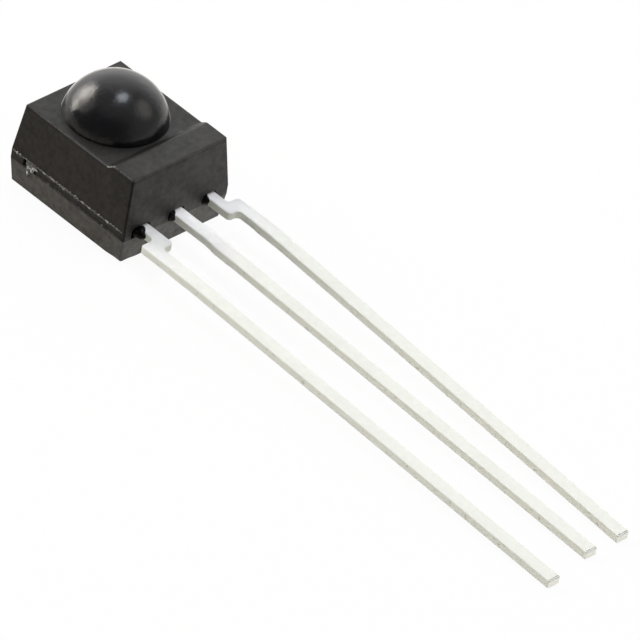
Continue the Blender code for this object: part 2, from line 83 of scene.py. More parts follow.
def stretch(value: Array, low: float, high: float, soft: float) -> Array:
    """1 between low and high and 0 outside, with soft steps that lie inside the stretch."""
    return ease(value, low, low + soft) * (1.0 - ease(value, high - soft, high))


def ripple(place: Array, pitch: float, seed: int, waves: int = 7) -> Array:
    """Uneven wave along a line: a sum of sines whose lengths fall from the pitch to a fifth of it.

    Args:
        place: distance along the line.
        pitch: longest wave.
        seed: which of the possible waves.
        waves: how many sines are summed.

    Returns:
        Array of the same shape, mostly between -1 and 1.
    """
    rng = np.random.default_rng(seed)
    lengths = pitch / np.linspace(1.0, 5.0, waves)
    phases = rng.uniform(0.0, TURN, waves)
    sizes = rng.uniform(0.5, 1.0, waves)
    parts = np.sin(TURN * place[..., None] / lengths + phases) * sizes
    return parts.sum(axis=-1) / math.sqrt(waves)


def lumps(points: Array, pitch: float, seed: int, waves: int = 9) -> Array:
    """Uneven field in space: a sum of sines along random directions.

    Args:
        points: array whose last axis is x, y, z.
        pitch: longest wave.
        seed: which of the possible fields.
        waves: how many sines are summed.

    Returns:
        One number for each point, mostly between -1 and 1.
    """
    rng = np.random.default_rng(seed)
    heading = rng.normal(size=(3, waves))
    heading /= np.linalg.norm(heading, axis=0)
    heading *= TURN * np.linspace(1.0, 3.0, waves) / pitch
    phases = rng.uniform(0.0, TURN, waves)
    return np.sin(points @ heading + phases).sum(axis=-1) / math.sqrt(waves)


def sphere(rings: int, segments: int, last: float = math.pi) -> Array:
    """Grid over a unit sphere: (sin a cos b, sin a sin b, cos a).

    Args:
        rings: how many rings, with a from 0 at the pole.
        segments: how many points in a ring, with b round the axis.
        last: a of the last ring.

    Returns:
        Array of rings by segments by x, y, z.
    """
    a = np.linspace(0.0, last, rings)[:, None]
    b = np.linspace(0.0, TURN, segments, endpoint=False)[None, :]
    return np.stack([np.sin(a) * np.cos(b), np.sin(a) * np.sin(b), np.cos(a) + 0.0 * b], axis=-1)


def lumpy_egg(unit: Array, half: Triple, centre: Triple, swell: float, pitch: float,
              seed: int) -> Array:
    """Stretched sphere whose radius rises and falls with a noise.

    Args:
        unit: grid over a unit sphere.
        half: half sizes along x, y and z.
        centre: its middle.
        swell: how strong the noise is.
        pitch: longest wave of the noise, on the unit sphere.
        seed: which of the possible noises.

    Returns:
        Grid of points.
    """
    grown = unit * (1.0 + swell * lumps(unit, pitch, seed))[..., None]
    return grown * np.array(half) + np.array(centre)


def denser(low: float, high: float, step: float, spots: list[Triple]) -> Array:
    """Places of grid lines: even ones, with closer ones round the spots.

    Args:
        low: first line.
        high: last line.
        step: distance between even lines.
        spots: middle, half width and step of each stretch of closer lines.

    Returns:
        Rising array of places.
    """
    runs = [np.linspace(low, high, max(2, round((high - low) / step) + 1))]
    for middle, half, close in spots:
        runs.append(np.arange(middle - half, middle + half + close / 2, close))
    places = np.unique(np.round(np.concatenate(runs), 3))
    return places[(places >= low) & (places <= high)]


def scaled(colour: Triple, share: float) -> Triple:
    """Colour with each part multiplied by a share."""
    return tuple(share * part for part in colour)


def towards(azimuth: float, elevation: float) -> Vector:
    """Unit vector towards an azimuth, counted from -Y, and an elevation, in degrees."""
    a, e = math.radians(azimuth), math.radians(elevation)
    return Vector((math.sin(a) * math.cos(e), -math.cos(a) * math.cos(e), math.sin(e)))


def link(name: str, data: bpy.types.ID) -> bpy.types.Object:
    """Make an object of a mesh, a lamp or a camera, and put it into the scene."""
    obj = bpy.data.objects.new(name, data)
    bpy.context.scene.collection.objects.link(obj)
    return obj


# Nodes and finishes

class Graph:
    """Node tree with short ways to add nodes. A term is a socket or a plain value."""

    def __init__(self, tree: bpy.types.NodeTree) -> None:
        """Keep the tree."""
        self.tree = tree

    def put(self, target: Socket, term: Term) -> None:
        """Link a socket to an input, or set the input's value.

        Args:
            target: the input.
            term: what goes into it.
        """
        if isinstance(term, bpy.types.NodeSocket):
            self.tree.links.new(term, target)
        else:
            target.default_value = (*term, 1.0) if target.type == "RGBA" else term

    def add(self, kind: str, inputs: dict[str | int, Term] | None = None,
            **settings: object) -> bpy.types.Node:
        """Add a shader node.

        Args:
            kind: Blender's name of the node, without the words at its start.
            inputs: terms by the input's name or number.
            **settings: properties of the node.

        Returns:
            The node.
        """
        made = self.tree.nodes.new("ShaderNode" + kind)
        for key, value in settings.items():
            setattr(made, key, value)
        for key, term in (inputs or {}).items():
            self.put(made.inputs[key], term)
        return made

    def math(self, operation: str, *terms: Term, clamp: bool = False) -> Socket:
        """Answer of a math node, which can be kept between 0 and 1."""
        inputs = dict(enumerate(terms))
        return self.add("Math", inputs, operation=operation, use_clamp=clamp).outputs[0]

    def remap(self, *terms: Term) -> Socket:
        """A value mapped softly: value, low, high, what low becomes and what high becomes."""
        inputs = dict(enumerate(terms))
        return self.add("MapRange", inputs, interpolation_type="SMOOTHSTEP").outputs[0]

    def mix(self, share: Term, first: Term, second: Term) -> Socket:
        """Mix of two colours, by the share of the second."""
        return self.add("Mix", {0: share, 6: first, 7: second}, data_type="RGBA").outputs[2]

    def noise(self, vector: Term, scale: float, detail: float, roughness: float) -> Socket:
        """Noise with features about 1 / scale metres wide."""
        return self.add("TexNoise", {"Vector": vector, "Scale": scale, "Detail": detail,
                                     "Roughness": roughness}).outputs[0]

    def cells(self, vector: Term, scale: float, random: float, **settings: str) -> Socket:
        """Distance to the nearest of scattered points, about 1 / scale metres apart."""
        return self.add("TexVoronoi", {"Vector": vector, "Scale": scale, "Randomness": random},
                        feature="F1", **settings).outputs["Distance"]

    def cosine(self, vector: Socket, direction: Triple) -> Socket:
        """Dot product of a vector with a direction."""
        inputs = {0: vector, 1: direction}
        return self.add("VectorMath", inputs, operation="DOT_PRODUCT").outputs["Value"]


class Effects:
    """Node groups that several finishes share, each built once.

    The numbers say how many features of each noise there are in a metre.
    """

    COARSE, FINE, FILLER, CLUMPS = 9000.0, 26000.0, 11000.0, 5200.0
    BROAD, MOTTLED = 620.0, 3600.0
    DRAWN, PITS, DRAWN_OUT = 14000.0, 3400.0, (1.0, 0.09, 1.0)

    def __init__(self) -> None:
        """Build the groups."""
        self.grain = self.group("mould grain", ("Share",), ("Height", "Specks"), self.make_grain)
        self.smudges = self.group("smudges", ("Contrast",), ("Patches",), self.make_smudges)
        self.drawn = self.group("drawn lines", (), ("Lines", "Pits"), self.make_drawn)

    @staticmethod
    def group(name: str, numbers: tuple[str, ...], outputs: tuple[str, ...],
              recipe: Callable[..., tuple[Socket, ...]]) -> bpy.types.NodeTree:
        """Node group that turns coordinates into values.

        Args:
            name: the group's name.
            numbers: names of its inputs beside the coordinates.
            outputs: names of its outputs.
            recipe: makes the outputs from the group's graph and its inputs.

        Returns:
            The group.
        """
        tree = bpy.data.node_groups.new(name, "ShaderNodeTree")
        new = tree.interface.new_socket
        new(name="Coordinates", in_out="INPUT", socket_type="NodeSocketVector")
        for labels, way in ((numbers, "INPUT"), (outputs, "OUTPUT")):
            for label in labels:
                new(name=label, in_out=way, socket_type="NodeSocketFloat")
        start, end = tree.nodes.new("NodeGroupInput"), tree.nodes.new("NodeGroupOutput")
        inputs = [start.outputs[label] for label in ("Coordinates", *numbers)]
        for label, made in zip(outputs, recipe(Graph(tree), *inputs)):
            tree.links.new(made, end.inputs[label])
        return tree

    def make_grain(self, graph: Graph, place: Socket, share: Socket) -> tuple[Socket, ...]:
        """Spark-eroded mould grain with pale specks of filler.

        Args:
            graph: the group's graph.
            place: coordinates in metres.
            share: how common the specks are.

        Returns:
            Height and specks.
        """
        coarse = graph.noise(place, self.COARSE, 3.0, 0.6)
        fine = graph.noise(place, self.FINE, 2.0, 0.5)
        height = graph.math("ADD", graph.math("MULTIPLY", coarse, 0.6),
                            graph.math("MULTIPLY", fine, 0.4))
        near = graph.remap(graph.cells(place, self.FILLER, 1.0), 0.12, 0.32, 1.0, 0.0)
        over = graph.math("SUBTRACT", graph.noise(place, self.CLUMPS, 1.0, 0.5),
                          graph.math("SUBTRACT", 1.0, share))
        chosen = graph.math("MULTIPLY_ADD", over, 6.0, 0.5, clamp=True)
        return height, graph.math("MULTIPLY", near, chosen)

    def make_smudges(self, graph: Graph, place: Socket, contrast: Socket) -> tuple[Socket, ...]:
        """Broad soft patches, as handling and mould release leave them.

        Args:
            graph: the group's graph.
            place: coordinates in metres.
            contrast: how far the patches lie from their mean.

        Returns:
            The patches.
        """
        broad = graph.noise(place, self.BROAD, 4.0, 0.6)
        mottled = graph.noise(place, self.MOTTLED, 3.0, 0.6)
        both = graph.math("MULTIPLY_ADD", mottled, 0.6, graph.math("MULTIPLY", broad, 0.4))
        return (graph.math("MULTIPLY_ADD", graph.math("SUBTRACT", both, 0.5), contrast, 0.5,
                           clamp=True),)

    def make_drawn(self, graph: Graph, place: Socket) -> tuple[Socket, ...]:
        """Lines along Y, as rolling and blanking leave them, with pits across them.

        Args:
            graph: the group's graph.
            place: coordinates in metres.

        Returns:
            Lines and pits.
        """
        long = graph.add("Mapping", {"Vector": place, "Scale": self.DRAWN_OUT}).outputs[0]
        pits = graph.remap(graph.noise(place, self.PITS, 4.0, 0.7), 0.56, 0.74, 0.0, 1.0)
        return graph.noise(long, self.DRAWN, 3.0, 0.6), pits


class Mark(Enum):
    """Attributes that carry a piece's wear, with the body's painted highlight and shade, from its
    mesh to its finish.
    """

    EDGE = "edge"
    SHEARED = "sheared"


class Skin(Graph):
    """Nodes of one material, on object coordinates in metres."""

    def __init__(self, material: bpy.types.Material, effects: Effects,
                 grain_height: float) -> None:
        """Start from a material's shader.

        Args:
            material: the material.
            effects: the shared node groups.
            grain_height: how high the bump rises, in millimetres.
        """
        material.use_nodes = True
        super().__init__(material.node_tree)
        self.shader = self.tree.nodes["Principled BSDF"]
        self.effects = effects
        self.grain_height = grain_height
        self.place = self.add("TexCoord").outputs["Object"]

    def use(self, group: bpy.types.NodeTree, **inputs: float) -> bpy.types.bpy_prop_collection:
        """Outputs of a node group on the material's coordinates."""
        return self.add("Group", {"Coordinates": self.place, **inputs}, node_tree=group).outputs

    def grain(self, share: float) -> tuple[Socket, Socket]:
        """Height of the mould grain and its specks, for a share of specks."""
        made = self.use(self.effects.grain, Share=share)
        return made["Height"], made["Specks"]

    def patches(self, contrast: float) -> Socket:
        """Smudges of a contrast."""
        return self.use(self.effects.smudges, Contrast=contrast)["Patches"]

    def mark(self, mark: Mark) -> Socket:
        """Value of one of the piece's marks."""
        return self.add("Attribute", attribute_name=mark.value).outputs["Fac"]

    def along(self, axis: str) -> Socket:
        """Coordinate along one axis."""
        return self.add("SeparateXYZ", {0: self.place}).outputs[axis]

    def bump(self, height: Socket, strength: float = 1.0) -> Socket:
        """Normal of a surface raised by a height, in units of the grain height."""
        return self.add("Bump", {"Strength": strength, "Distance": self.grain_height * MM,
                                 "Height": height}).outputs[0]


@dataclass(frozen=True)
class Finish:
    """Surface finish: a material that is made once and given to pieces."""

    name: str
    colour: Triple
    roughness: float
    metallic: float = 0.0
    specular: float = 0.5
    grain_height: float = 0.004

    def make(self, effects: Effects) -> bpy.types.Material:
        """Build the material.

        Args:
            effects: the shared node groups.

        Returns:
            The material.
        """
        material = bpy.data.materials.new(self.name)
        skin = Skin(material, effects, self.grain_height)
        plain = {"Base Color": self.colour, "Roughness": self.roughness,
                 "Metallic": self.metallic, "Specular IOR Level": self.specular}
        for label, term in {**plain, **self.paint(skin)}.items():
            skin.put(skin.shader.inputs[label], term)
        return material

    def paint(self, skin: Skin) -> dict[str, Term]:
        """Terms for the shader's inputs, which each kind of finish makes in its own way."""
        raise NotImplementedError


@dataclass(frozen=True)
class MouldedEpoxy(Finish):
    """Matte dark compound, paler at worn edges, partly a painted highlight, with filler specks."""

    # Pale colour of worn edges, which also paints a highlight along them
    worn_sheen_colour: Triple = (0.10, 0.10, 0.095)
    speck_colour: Triple = (0.11, 0.11, 0.105)
    # Painted shade: near-black colour where the edge mark is below 0
    painted_shade_colour: Triple = (0.002, 0.002, 0.002)
    # Painted shade: colour of the upper skin at the left side
    left_shade_colour: Triple = (0.0072, 0.0062, 0.0055)
    # Painted reflection of the bright floor: paler colour below the parting line
    lower_floor_light_colour: Triple = (0.058, 0.056, 0.051)
    tones: tuple[float, float] = (0.55, 1.45)
    left_shade_reach: tuple[float, float] = (-3.2, -0.2)

    def paint(self, skin: Skin) -> dict[str, Term]:
        """Work the finish out from the grain, the smudges and the piece's edge mark.

        Below the parting line the colour is painted paler: a painted reflection of the bright
        floor.
        Above it the colour is painted darker towards the left side: a painted shade.

        Args:
            skin: the material's nodes.

        Returns:
            Terms for the shader's inputs.
        """
        height, specks = skin.grain(0.36)
        patches, edge = skin.patches(3.4), skin.mark(Mark.EDGE)
        # Pale worn edges, whose pale colour also paints the highlight along the rounded edges
        worn_and_sheen = skin.math("MULTIPLY", edge, skin.remap(height, 0.36, 0.66, 0.15, 1.0), clamp=True)
        # Below 0 the skin is duller and painted near-black: painted shade, and a darker line under
        # the top edges
        dull = skin.math("MULTIPLY", edge, -1.0, clamp=True)
        # Below the parting line the colour is painted paler: a painted reflection of the bright
        # floor
        lower = skin.remap(skin.along("Z"), (PARTING - 0.03) * MM, (PARTING + 0.02) * MM,
                           1.0, 0.0)
        # Painted shade: the upper skin is painted darker towards the left side
        left_shade = skin.remap(skin.along("X"), *scaled(self.left_shade_reach, MM), 1.0, 0.0)
        dark, pale = (
            skin.mix(lower, skin.mix(left_shade, scaled(self.colour, share),
                                     scaled(self.left_shade_colour, share ** 2)),
                     scaled(self.lower_floor_light_colour, share))
            for share in self.tones)
        base = skin.mix(patches, dark, pale)
        base = skin.mix(skin.math("MULTIPLY", specks, 0.4), base, self.speck_colour)
        base = skin.mix(dull, skin.mix(worn_and_sheen, base, self.worn_sheen_colour), self.painted_shade_colour)
        rough = skin.remap(patches, 0.0, 1.0, self.roughness + 0.09, self.roughness - 0.09)
        return {"Base Color": base, "Roughness": skin.math("MULTIPLY_ADD", dull, 0.45, rough),
                "Normal": skin.bump(height)}


@dataclass(frozen=True)
class PolishedEpoxy(Finish):
    """Dark epoxy from a polished mould face, barely uneven, with a pale sheen painted at the limb.
    """

    # Painted sheen: pale colour painted at the limb, where the view grazes the surface
    rim_sheen_colour: Triple = (0.55, 0.55, 0.54)
    rim_sheen: float = 0.0
    waviness: float = 0.0

    def paint(self, skin: Skin) -> dict[str, Term]:
        """Work the finish out from the grain, the smudges and the view's slant.

        Args:
            skin: the material's nodes.

        Returns:
            Terms for the shader's inputs.
        """
        height, patches = skin.grain(0.25)[0], skin.patches(2.6)
        base = skin.mix(patches, scaled(self.colour, 0.8), scaled(self.colour, 1.3))
        # Painted sheen: the base colour turns pale where the view grazes the lens
        limb = skin.add("LayerWeight", {"Blend": 0.5}).outputs["Facing"]
        painted_rim_sheen = skin.math("MULTIPLY", skin.remap(limb, 0.72, 1.0, 0.0, 1.0), self.rim_sheen)
        rough = skin.remap(patches, 0.0, 1.0, self.roughness * 0.75, self.roughness * 1.3)
        wavy = skin.math("MULTIPLY_ADD", patches, self.waviness, height)
        return {"Base Color": skin.mix(painted_rim_sheen, base, self.rim_sheen_colour), "Roughness": rough,
                "Normal": skin.bump(wavy)}


@dataclass(frozen=True)
class TinPlate(Finish):
    """Satin tin over a blanked lead: pale faces, duller mottled sheared sides, shiny tips.

    The faces are painted whitest beside the body, a painted light that makes up for the body's
    shade there, and turn a little duller and more metallic further out.
    """

    far_colour: Triple = (0.84, 0.855, 0.80)
    side_colour: Triple = (0.80, 0.80, 0.72)
    stain_colour: Triple = (0.50, 0.50, 0.42)
    tones: tuple[float, float] = (0.95, 1.03)
    # Stretch over which the painted light beside the body fades out
    root_light_reach: tuple[float, float] = (LEAD_END - 4.6, LEAD_END - 0.4)

    def paint(self, skin: Skin) -> dict[str, Term]:
        """Work the finish out from the drawn lines and the piece's sheared mark.

        Args:
            skin: the material's nodes.

        Returns:
            Terms for the shader's inputs.
        """
        drawn, sheared = skin.use(skin.effects.drawn), skin.mark(Mark.SHEARED)
        # Painted light: the faces are painted whiter towards the body, where it shades them
        near = skin.remap(skin.along("Y"), *scaled(self.root_light_reach, MM), 0.0, 1.0)
        dull, bright = (skin.mix(near, scaled(self.far_colour, share),
                                 scaled(self.colour, share)) for share in self.tones)
        face = skin.mix(skin.patches(3.2), dull, bright)
        side = skin.mix(drawn["Pits"], self.side_colour, self.stain_colour)
        cropped = skin.math("MULTIPLY", sheared, -1.0, clamp=True)
        out = skin.remap(near, 0.0, 1.0, self.metallic, 0.0)
        rough = skin.math("MULTIPLY_ADD", drawn["Lines"], 0.14,
                          skin.math("MULTIPLY_ADD", sheared, 0.12, self.roughness - 0.07))
        return {"Base Color": skin.mix(sheared, face, side), "Roughness": rough,
                "Metallic": skin.math("MULTIPLY_ADD", cropped, 0.75, out),
                "Normal": skin.bump(drawn["Lines"])}


class Pattern(Enum):
    """How the second tone lies on the first."""

    CHIPS = "chipped faces of torn resin"
    BLOCKS = "square blocks of a chip's face"
    SPECKS = "specks of a fine uneven skin"


@dataclass(frozen=True)
class TwoTone(Finish):
    """Broken resin, chip face, adhesive or wire: a second tone on the first, in a pattern."""

    second: Triple = (0.0, 0.0, 0.0)
    pattern: Pattern = Pattern.SPECKS
    patch: float = 4200.0
    block: float = 7000.0

    def paint(self, skin: Skin) -> dict[str, Term]:
        """Work the finish out from its pattern, which also raises the surface.

        Args:
            skin: the material's nodes.

        Returns:
            Terms for the shader's inputs.
        """
        rough, strength = self.roughness, 0.5
        if self.pattern is Pattern.CHIPS:
            height, strength = skin.noise(skin.place, self.patch, 3.0, 0.65), 1.0
            share = skin.remap(height, 0.50, 0.62, 0.0, 1.0)
            rough = skin.remap(skin.grain(0.5)[0], 0.3, 0.7, rough - 0.15, rough + 0.1)
        elif self.pattern is Pattern.BLOCKS:
            cells = skin.cells(skin.place, self.block, 0.6, distance="CHEBYCHEV")
            height, strength = skin.remap(cells, 0.25, 0.45, 0.0, 1.0), 0.4
            share = height
        else:
            height, share = skin.grain(0.45)
        return {"Base Color": skin.mix(share, self.colour, self.second), "Roughness": rough,
                "Normal": skin.bump(height, strength)}


class Finishes:
    """Every finish of the module, made once."""

    def __init__(self) -> None:
        """Make the materials."""
        effects = Effects()
        self.body = MouldedEpoxy("matte epoxy", (0.0145, 0.0130, 0.0118), 0.44,
                                 specular=0.38, grain_height=0.006).make(effects)
        self.lens = PolishedEpoxy("polished epoxy", (0.0035, 0.0035, 0.0048), 0.20,
                                  grain_height=0.0042, rim_sheen=1.0, waviness=1.9).make(effects)
        # Near-black with little shine: resin lumps that also paint the shade at the lead roots
        self.bleed_and_shade = PolishedEpoxy("resin bleed and shade", (0.002, 0.002, 0.002), 0.30,
                                   specular=0.10, grain_height=0.003).make(effects)
        self.broken = TwoTone("broken resin", (0.10, 0.10, 0.09), 0.55, grain_height=0.02,
                              second=(0.72, 0.72, 0.68), pattern=Pattern.CHIPS).make(effects)
        self.flash = TwoTone("thin flash", (0.090, 0.088, 0.080), 0.60, grain_height=0.012,
                             second=(0.34, 0.34, 0.32), pattern=Pattern.CHIPS).make(effects)
        self.tin = TinPlate("tin plate", (0.96, 0.965, 0.97), 0.55, metallic=0.15,
                            grain_height=0.003).make(effects)
        self.silicon = TwoTone("chip face", (0.16, 0.17, 0.20), 0.20, metallic=0.6,
                               grain_height=0.001, second=(0.26, 0.25, 0.20),
                               pattern=Pattern.BLOCKS).make(effects)
        self.adhesive = TwoTone("silver adhesive", (0.62, 0.61, 0.58), 0.50, metallic=0.5,
                                grain_height=0.003, second=(0.806, 0.793, 0.754)).make(effects)
        self.gold = TwoTone("gold wire", (0.90, 0.66, 0.24), 0.25, metallic=1.0,
                            grain_height=0.0005, second=(1.0, 0.858, 0.312)).make(effects)


# Meshes

class Surface:
    """Points and faces of one piece, gathered from several grids."""

    def __init__(self) -> None:
        """Start with nothing."""
        self.points: list[Array] = []
        self.faces: list[Array] = []
        self.marks: list[Array] = []
        self.count = 0

    def add(self, grid: Array, mark: Array | float = 0.0,
            wrap: bool = False) -> "Surface":
        """Add a grid of points, with quads between them.

        Args:
            grid: array of rows by columns by x, y, z, in millimetres.
            mark: value of the piece's mark at each point.
            wrap: whether each row closes on itself.

        Returns:
            The surface.
        """
        rows, columns = grid.shape[:2]
        i = np.arange(rows - 1)[:, None] * columns
        j = np.arange(columns if wrap else columns - 1)[None, :]
        k = (j + 1) % columns
        corners = (i + j, i + k, i + columns + k, i + columns + j)
        self.faces.append(np.stack(corners, axis=-1).reshape(-1, 4) + self.count)
        self.points.append(grid.reshape(-1, 3))
        self.marks.append(np.broadcast_to(mark, (rows, columns)).reshape(-1))
        self.count += rows * columns
        return self

    def piece(self, name: str, material: bpy.types.Material, sharp: float, slot: str = "epoxy",
              mark: Mark = Mark.EDGE) -> bpy.types.Object:
        """Make the object, with its grids welded and its faces pointing outwards.

        Args:
            name: the piece's name.
            material: its material.
            sharp: angle in degrees past which an edge stays sharp.
            slot: not used.
            mark: what its marks mean.

        Returns:
            The object, riding on the body.
        """
        mesh = bpy.data.meshes.new(name)
        points = np.concatenate(self.points) * MM
        mesh.from_pydata(points.tolist(), [], np.concatenate(self.faces).tolist())
        values = mesh.attributes.new(mark.value, "FLOAT", "POINT")
        values.data.foreach_set("value", np.concatenate(self.marks).astype(np.float32))
        bm = bmesh.new()
        bm.from_mesh(mesh)
        bmesh.ops.remove_doubles(bm, verts=bm.verts, dist=WELD)
        bmesh.ops.dissolve_degenerate(bm, edges=bm.edges, dist=WELD)
        bmesh.ops.recalc_face_normals(bm, faces=bm.faces)
        bm.to_mesh(mesh)
        bm.free()
        mesh.shade_smooth()
        mesh.set_sharp_from_angle(angle=math.radians(sharp))
        mesh.materials.append(material)
        obj = link(name, mesh)
        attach(obj, BODY_ROOT)
        log.info("%s: %d points, %d faces", name, len(mesh.vertices), len(mesh.polygons))
        return obj


@dataclass(frozen=True)
class Neck:
    """Where one lead leaves the body."""

    centre: float
    width: float

    @property
    def edges(self) -> tuple[float, float]:
        """X of its left and of its right edge."""
        return self.centre - self.width / 2, self.centre + self.width / 2


OUTPUT_NECK = Neck(-1.85, 0.54)
GROUND_NECK = Neck(0.065, 0.62)
SUPPLY_NECK = Neck(1.98, 0.54)


@dataclass
class Recess:
    """Recess in the lead end beside one lead."""

    neck: Neck
    wide_side: float
    narrow_side: float = 0.06
    floor: float = PARTING + 0.005
    height: float = 0.48
    radius: float = 0.15
    depth: float = 0.30
    lip: float = 0.035

    @property
    def edges(self) -> tuple[float, float]:
        """X of its left and of its right wall."""
        return self.neck.edges[0] - self.wide_side, self.neck.edges[1] + self.narrow_side

    def cut(self, x: Array, z: Array) -> Array:
        """How far the wall is set back at each point of the lead end.

        The distance to a round-cornered rectangle, which runs on below the floor, is turned into
        a soft step, and a second step ends it at the floor.

        Args:
            x: across the body.
            z: height.

        Returns:
            Depth in millimetres.
        """
        (left, right), top = self.edges, self.floor + self.height
        across = np.abs(x - (left + right) / 2) - (right - left) / 2
        along = np.abs(z - (top - 1.0)) - 1.0
        across, along = across + self.radius, along + self.radius
        outside = np.hypot(np.maximum(across, 0.0), np.maximum(along, 0.0))
        inside = np.minimum(np.maximum(across, along), 0.0)
        inner = 1.0 - ease(outside + inside - self.radius, -self.lip, self.lip * 0.4)
        return self.depth * inner * ease(z, self.floor - 0.02, self.floor + 0.01)


@dataclass
class Package:
    """Moulded epoxy body, without its lens: a drafted round-edged box with its features.

    A fade is how far from a face the soft edges start and stop to lose their radius. The nick
    has its y, width and strength, the rub on the lead end its x, z, radius and strength, and
    the painted shade beside each recess its x from there, z, half sizes and strength.
    """

    half_width: float = 3.0
    closed_end: float = 2.77
    pad_rise: float = PAD_TOP - PLATE
    pad_start: float = LEAD_END + 1.44
    pad_slope: float = 0.32
    squash_from: float = 3.27
    side_draft: float = math.tan(math.radians(8.0))
    left_draft: float = math.tan(math.radians(6.4))
    end_draft: float = math.tan(math.radians(5.0))
    radius: float = 0.03
    soft_radius: float = 0.12
    groove_depth: float = 0.06
    groove_end: float = 2.02
    gate_hole: tuple[float, float] = (1.93, 1.42)
    hole_half: tuple[float, float] = (0.09, 0.15)
    hole_depth: float = 0.14
    spacing: Triple = (0.12, 0.10, 0.14)
    front_fade: tuple[float, float] = (0.4, 1.0)
    back_fade: tuple[float, float] = (0.2, 0.8)
    top_fade: tuple[float, float] = (0.5, 1.2)
    # Weights of the pale worn edges, which also paint a highlight along them
    top_wear_and_sheen: float = 0.68
    bottom_wear_and_sheen: float = 0.9
    upper_wear_and_sheen: float = 0.2
    lower_wear_and_sheen: float = 0.5
    nick: Triple = (-2.58, 0.13, 0.8)
    dull_line: float = 0.45
    rub: tuple[float, ...] = (-0.75, 2.65, 0.22, 0.10)
    # Painted shade beside each lead's root
    root_shade: tuple[float, ...] = (-0.05, 1.60, 0.30, 0.24, 0.60)
    recesses: list[Recess] = field(default_factory=lambda: [
        Recess(OUTPUT_NECK, 0.42), Recess(GROUND_NECK, 0.17), Recess(SUPPLY_NECK, 0.17)])

    def corners(self) -> tuple[Array, Array]:
        """Low and high corner of the plain box."""
        return (np.array([-self.half_width, LEAD_END, 0.0]),
                np.array([self.half_width, self.closed_end, PAD_TOP]))

    def lines(self) -> list[Array]:
        """Places of the grid lines across, along and up the box.

        Returns:
            Three rising arrays, with close lines at the features and at the round edges.
        """
        across = []
        for left, right in (recess.edges for recess in self.recesses):
            across += [(edge, 0.06, 0.02) for edge in (left, right)]
            across += [(edge, 0.08, 0.04) for edge in (left + 0.14, right - 0.14)]
        along = [(place, 0.06, 0.02) for place in
                 (self.pad_start, self.pad_start + self.pad_slope, self.groove_end)]
        along.append((self.gate_hole[0], 0.14, 0.03))
        up = [(PARTING, 0.06, 0.015), (BAND_TOP, 0.05, 0.015), (self.gate_hole[1], 0.20, 0.04)]
        lows, highs = self.corners()
        round_edge = self.soft_radius * (1.0 - np.tan(np.radians([45, 41, 37, 30, 22, 15, 7])))
        made = []
        for low, high, step, spots in zip(lows, highs, self.spacing, (across, along, up)):
            inner = denser(low + self.soft_radius, high - self.soft_radius, step, spots)
            made.append(np.concatenate([low + round_edge, inner, high - round_edge[::-1]]))
        return made

    def shape(self, q: Array) -> tuple[Array, Array]:
        """Move points of a plain box onto the drafted, round-edged one with its pad.

        A point is pulled to the nearest place of the box shrunk by the edge radius, and pushed
        out again by that radius, which grows along the top of the left wall and on the upright
        edge beside it. The top then drops behind the pad, and the walls lean in with their
        distance from the upright band.

        Args:
            q: points of the plain box.

        Returns:
            The moved points, and their mark: above 0 on a worn edge, also a painted highlight,
            and below 0 on painted shade and on a darker, duller line.
        """
        low, high = self.corners()
        near_left = 1.0 - ease(q[..., :1] - low[0], *self.front_fade)
        near_front = 1.0 - ease(q[..., 1:2] - low[1], *self.front_fade)
        near_top = 1.0 - ease(high[2] - q[..., 2:], *self.top_fade)
        before_back = ease(high[1] - q[..., 1:2], *self.back_fade)
        grow = near_left * np.maximum(near_front, near_top) * before_back
        r = self.radius + (self.soft_radius - self.radius) * grow
        core = np.clip(q, low + r, high - r)
        out = q - core
        out /= np.linalg.norm(out, axis=-1, keepdims=True)
        p = core + r * out

        middle, half = (high[1] + low[1]) / 2, (high[1] - low[1]) / 2
        lean = (PAD_TOP - BAND_TOP) * self.end_draft
        y_top = middle + (p[..., 1] - middle) * (half - lean) / half
        drop = np.clip((y_top - self.pad_start) / self.pad_slope, 0.0, 1.0)
        share = np.clip((p[..., 2] - self.squash_from) / (PAD_TOP - self.squash_from), 0, 1)
        p[..., 2] -= self.pad_rise * drop * share

        beyond = np.maximum(np.maximum(p[..., 2] - BAND_TOP, PARTING - p[..., 2]), 0.0)
        upper_left = ease(-p[..., 0], -2.0, 2.0) * (p[..., 2] > BAND_TOP)
        draft = self.side_draft + (self.left_draft - self.side_draft) * upper_left
        p[..., 0] *= 1.0 - beyond * draft / self.half_width
        p[..., 1] = middle + (p[..., 1] - middle) * (1.0 - beyond * self.end_draft / half)
        return p, self.wear_and_painted_light(q, out)

    def wear_and_painted_light(self, q: Array, out: Array) -> Array:
        """How worn each point is, and where highlight and shade are painted.

        It is 4 (1 - the normal's greatest part), which is 0 on a flat and 1 on the middle of an
        edge, times a weight: high along the top and the bottom, where the pale worn edges also
        paint a highlight, and below 0 on the upper part of the upright edge between the lead end
        and the left wall, a painted dark reflection. A darker, duller line runs under the top
        edges, and a patch of painted shade lies beside each lead's root.

        Args:
            q: points of the plain box.
            out: their normals.

        Returns:
            Mark between -1 and 1.
        """
        (x, y, z), (out_x, out_y, out_z) = np.moveaxis(q, -1, 0), np.moveaxis(out, -1, 0)
        edge = np.clip(4.0 * (1.0 - np.abs(out).max(axis=-1)), 0.0, 1.0)
